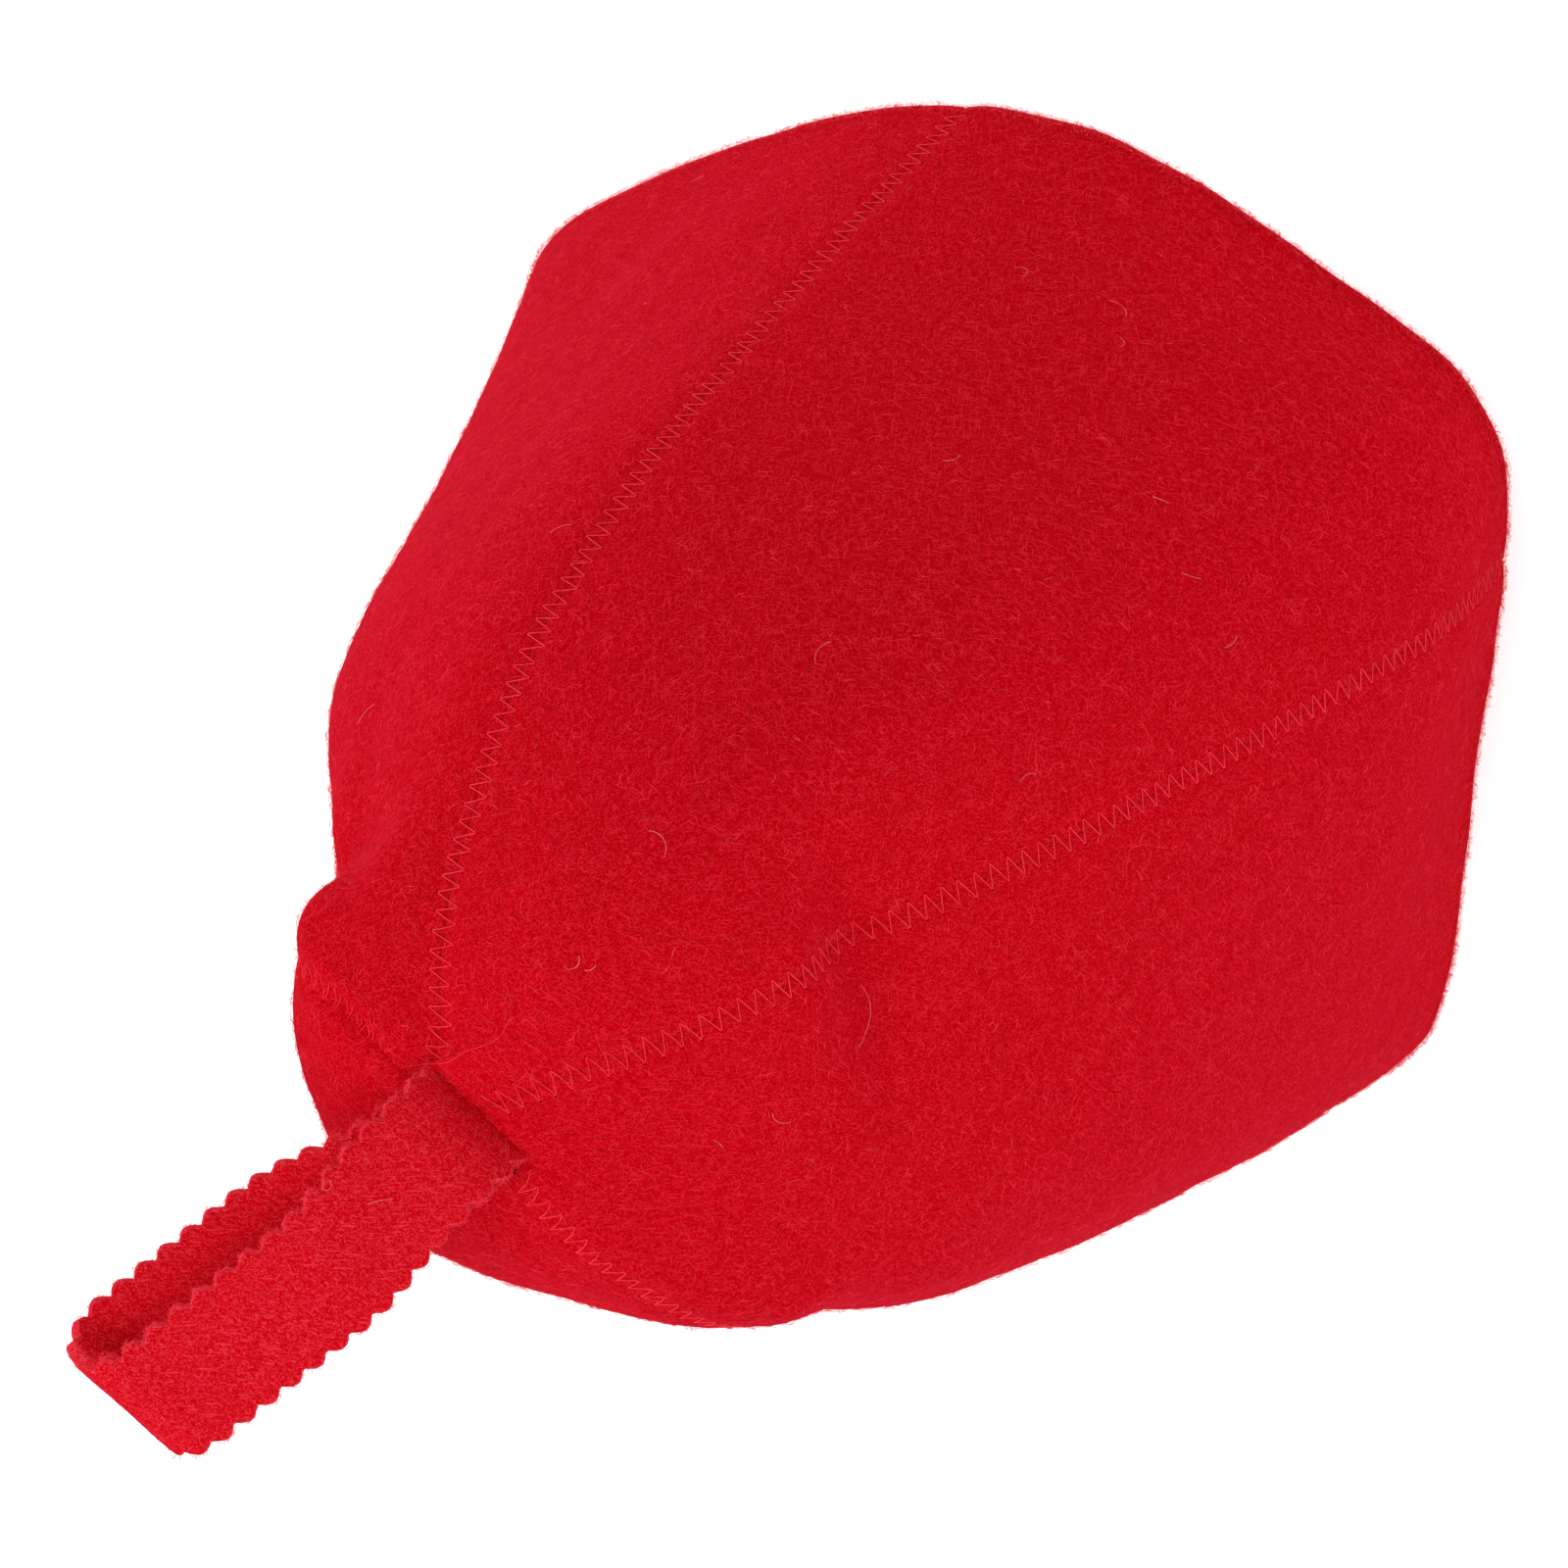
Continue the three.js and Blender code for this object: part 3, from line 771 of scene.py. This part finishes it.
# Random starts on some of a piece's faces, with a way along the felt and the normal at each.
def scatter(piece, faces, per_cm2):
    mesh = piece.data
    points = np.empty(len(mesh.vertices) * 3)
    mesh.vertices.foreach_get("co", points)
    points = points.reshape(-1, 3) / MM - AXIS
    corner = np.empty(len(mesh.loops), np.int32)
    mesh.loops.foreach_get("vertex_index", corner)
    a, b, c, d = points[corner.reshape(-1, 4)[faces]].transpose(1, 0, 2)
    cross = np.cross(c - a, d - b)
    area = np.linalg.norm(cross, axis=1) / 2
    count = int(area.sum() * MM**2 / CM2 * per_cm2)
    chosen = rng.choice(len(area), count, p=area / area.sum())
    s, t = rng.uniform(size=(2, count, 1))
    near = a[chosen] * (1 - s) + b[chosen] * s
    far = d[chosen] * (1 - s) + c[chosen] * s
    normal = unit(cross[chosen])
    loose = rng.normal(size=(count, 3))
    way = unit(loose - normal * (loose * normal).sum(1, keepdims=True))
    return near * (1 - t) + far * t, way, normal


# Curved hair paths: each bends in the felt's plane and lifts off it in the middle.
def hair_paths(start, way, normal, lengths, lift, curl):
    count = len(start)
    side = np.cross(normal, way)
    t = np.linspace(0, 1, FUZZ_POINTS)
    sway = rng.normal(0, FUZZ_SWAY, (count, 1)) * np.sin(2 * np.pi * t)
    turn = rng.normal(0, curl, (count, 1)) * t + sway
    step = lengths[:, None] / (FUZZ_POINTS - 1)
    x = np.cumsum(np.cos(turn), axis=1) * step
    y = np.cumsum(np.sin(turn), axis=1) * step
    h = lift[:, None] * np.sin(np.pi * (FUZZ_ARCH_START + t * rng.uniform(*FUZZ_ARCH, (count, 1))))
    level = way[:, None] * x[..., None] + side[:, None] * y[..., None]
    return start[:, None] + level + normal[:, None] * h[..., None]


def ribbons(paths, normal, widths):
    count, points = paths.shape[:2]
    heading = unit(np.gradient(paths, axis=1))
    flat = unit(np.cross(normal[:, None], heading))
    roll = rng.uniform(-FUZZ_ROLL, FUZZ_ROLL, (count, 1, 1))
    edge = flat * np.cos(roll) + np.cross(heading, flat) * np.sin(roll)
    taper = np.sin(np.pi * np.linspace(*FUZZ_TAPER, points))[None, :, None]
    half = edge * widths[:, None, None] / 2 * taper
    both = np.stack([paths - half, paths + half], 2).reshape(-1, 3)
    at = np.arange(len(both)).reshape(count, points, 2)
    faces = np.stack([at[:, :-1, 0], at[:, :-1, 1], at[:, 1:, 1], at[:, 1:, 0]], -1).reshape(-1, 4)
    return both, faces


def make_fuzz(name, piece, faces, kind, material):
    wool = FUZZ[kind]
    start, way, normal = scatter(piece, faces, wool["per_cm2"])
    count = len(start)
    lengths = rng.uniform(*wool["length"], count)
    low, high = wool["lift"]
    lift = low + (high - low) * rng.uniform(size=count) ** 2
    paths = hair_paths(start, way, normal, lengths, lift, wool["curl"])
    paths[..., 2] = np.maximum(paths[..., 2], FLOOR_CLEARANCE)
    points, quads = ribbons(paths, normal, rng.uniform(*wool["width"], count))
    points[:, 2] = np.maximum(points[:, 2], 0.0)
    return mesh_from(name, points, quads, material)


# The first felt that the camera's ray through a pixel meets, and the nearest felt to a point.
def felt_behind(trees, x_px, y_px):
    place, way = pixel_ray(x_px, y_px)
    hits = [tree.ray_cast(Vector(place * MM), Vector(way)) for tree in trees]
    spot, normal, _, _ = min((hit for hit in hits if hit[0]), key=lambda hit: hit[3])
    return np.array(spot) / MM, np.array(normal)


def felt_nearest(trees, point):
    spots = [tree.find_nearest(Vector(point * MM)) for tree in trees]
    spot, normal, _, _ = min(spots, key=lambda found: found[3])
    return np.array(spot) / MM, np.array(normal)


# A stray hair that starts at a pixel, lies on the felt and bends evenly along its length.
def stray_hair(trees, hair):
    right, up, _ = camera_axes()
    start, normal = felt_behind(trees, hair["x_px"], hair["y_px"])
    heading = math.radians(hair["heading_deg"])
    way = right * math.cos(heading) - up * math.sin(heading)
    way = unit(way - normal * (way @ normal))
    side = np.cross(way, normal)
    turn = math.radians(hair["bend_deg"]) * np.linspace(0, 1, HAIR_POINTS)
    step = hair["length"] / (HAIR_POINTS - 1)
    x = np.cumsum(np.cos(turn)) * step
    y = np.cumsum(np.sin(turn)) * step
    path = []
    for point in start + way * x[:, None] + side * y[:, None]:
        spot, facing = felt_nearest(trees, point)
        path.append(spot + facing * HAIR_LIFT - AXIS)
    return np.array(path)


# The loose thread end: a smooth curve over the felt behind its pixels.
def loose_thread(trees):
    pixels = np.array(LOOSE_THREAD_PX, float)
    spread = np.vstack([2 * pixels[0] - pixels[1], pixels, 2 * pixels[-1] - pixels[-2]])
    share = np.linspace(0, 1, LOOSE_THREAD_STEPS, endpoint=False)
    path = []
    for corners in zip(spread, spread[1:], spread[2:], spread[3:]):
        for pixel in spline(*corners, share):
            spot, facing = felt_behind(trees, *pixel)
            path.append(spot + facing * HAIR_LIFT - AXIS)
    return np.array(path)


def make_strays(panels, material, thread_material):
    graph = bpy.context.evaluated_depsgraph_get()
    trees = [BVHTree.FromObject(panel, graph) for panel in panels]
    strays = []
    for number, hair in enumerate(HAIRS, 1):
        points, faces = tubes(stray_hair(trees, hair)[None], HAIR_RADIUS, HAIR_SIDES)
        strays.append(mesh_from(f"stray_hair_{number:02d}", points, faces, material))
    points, faces = tubes(loose_thread(trees)[None], HAIR_RADIUS, HAIR_SIDES)
    strays.append(mesh_from("loose_thread_end", points, faces, thread_material))
    return strays


# Stage.
def make_floor():
    bpy.ops.mesh.primitive_plane_add(size=FLOOR_SIDE, location=(0, 0, 0))
    floor = bpy.context.object
    floor.name = "floor"
    made = Nodes("floor_paint")
    colour = made.mix(made.noise(*FLOOR_NOISE), *FLOOR_SHADES)
    floor.data.materials.append(made.finish(colour, **FLOOR_FINISH))
    made.shader.inputs["Emission Color"].default_value = (*WHITE, 1.0)
    made.shader.inputs["Emission Strength"].default_value = FLOOR_GLOW


def camera_axes():
    tilt = math.radians(CAMERA_ELEVATION_DEG)
    roll = math.radians(CAMERA_ROLL_DEG)
    forward = np.array([0.0, math.cos(tilt), -math.sin(tilt)])
    upright = np.array([0.0, math.sin(tilt), math.cos(tilt)])
    x = -math.sin(roll) * SIDEWAYS - math.cos(roll) * upright
    y = math.cos(roll) * SIDEWAYS - math.sin(roll) * upright
    return x, y, forward


def pixel_way(x_px, y_px):
    x, y, forward = camera_axes()
    middle = PHOTO_SIDE_PX / 2
    return forward + x * (x_px - middle) / FOCAL_PX - y * (y_px - middle) / FOCAL_PX


def camera_place():
    apex = AXIS + UP * CROWN_HEIGHT
    return apex - pixel_way(*APEX_PX) * APEX_DISTANCE


def pixel_ray(x_px, y_px):
    return camera_place(), unit(pixel_way(x_px, y_px))


def make_camera():
    x, y, forward = camera_axes()
    data = bpy.data.cameras.new("camera")
    data.sensor_width = SENSOR_MM
    data.lens = SENSOR_MM * FOCAL_PX / PHOTO_SIDE_PX
    data.clip_start = CLIP_START
    camera = bpy.data.objects.new("camera", data)
    columns = np.column_stack([x, y, -forward, camera_place() * MM])
    camera.matrix_world = Matrix([*columns.tolist(), (0.0, 0.0, 0.0, 1.0)])
    bpy.context.scene.collection.objects.link(camera)
    bpy.context.scene.camera = camera


def make_lights():
    for row in LIGHTS:
        data = bpy.data.lights.new(row["name"], "AREA")
        data.energy = row["power"]
        data.shape = "DISK"
        data.size = row["size"]
        light = bpy.data.objects.new(row["name"], data)
        light.location = row["place"]
        aim = Vector(LIGHT_AIM) - Vector(row["place"])
        light.rotation_euler = aim.to_track_quat("-Z", "Y").to_euler()
        bpy.context.scene.collection.objects.link(light)
    world = bpy.data.worlds.new("studio")
    world.use_nodes = True
    sky = world.node_tree.nodes["Background"]
    sky.inputs["Color"].default_value = (*WHITE, 1.0)
    sky.inputs["Strength"].default_value = SKY_STRENGTH
    bpy.context.scene.world = world
    bpy.context.scene.view_settings.view_transform = "Standard"


felt, loop_felt, edge_felt_and_sheen = [felt_material(**row) for row in FELTS]
wool, fleck_wool, edge_wool_and_sheen, pale_wool, thread, shadow = [strand_material(**row) for row in STRANDS]

make_camera()
make_floor()
make_lights()

panels = []
for gore in GORES:
    node = gore["node"]
    panel, outer_faces, rim_faces = make_gore(gore, felt)
    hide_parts(node)
    hairs = [
        make_fuzz(node + "_fuzz", panel, outer_faces, "body", wool),
        make_fuzz(node + "_rim_fuzz", panel, rim_faces, "rim", edge_wool_and_sheen),
        make_fuzz(node + "_flecks", panel, outer_faces, "fleck", fleck_wool),
    ]
    panels.append(panel)

strip, strip_faces, scallop_faces = make_loop(loop_felt, edge_felt_and_sheen)
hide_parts("hanging_loop")
hairs = [
    make_fuzz("loop_fuzz", strip, strip_faces, "loop", wool),
    make_fuzz("loop_edge_fuzz", strip, scallop_faces, "scallop", edge_wool_and_sheen),
]

for seam in SEAMS:
    for piece in make_seam(seam, thread, shadow):
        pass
for piece in make_strays([*panels, strip], pale_wool, thread):
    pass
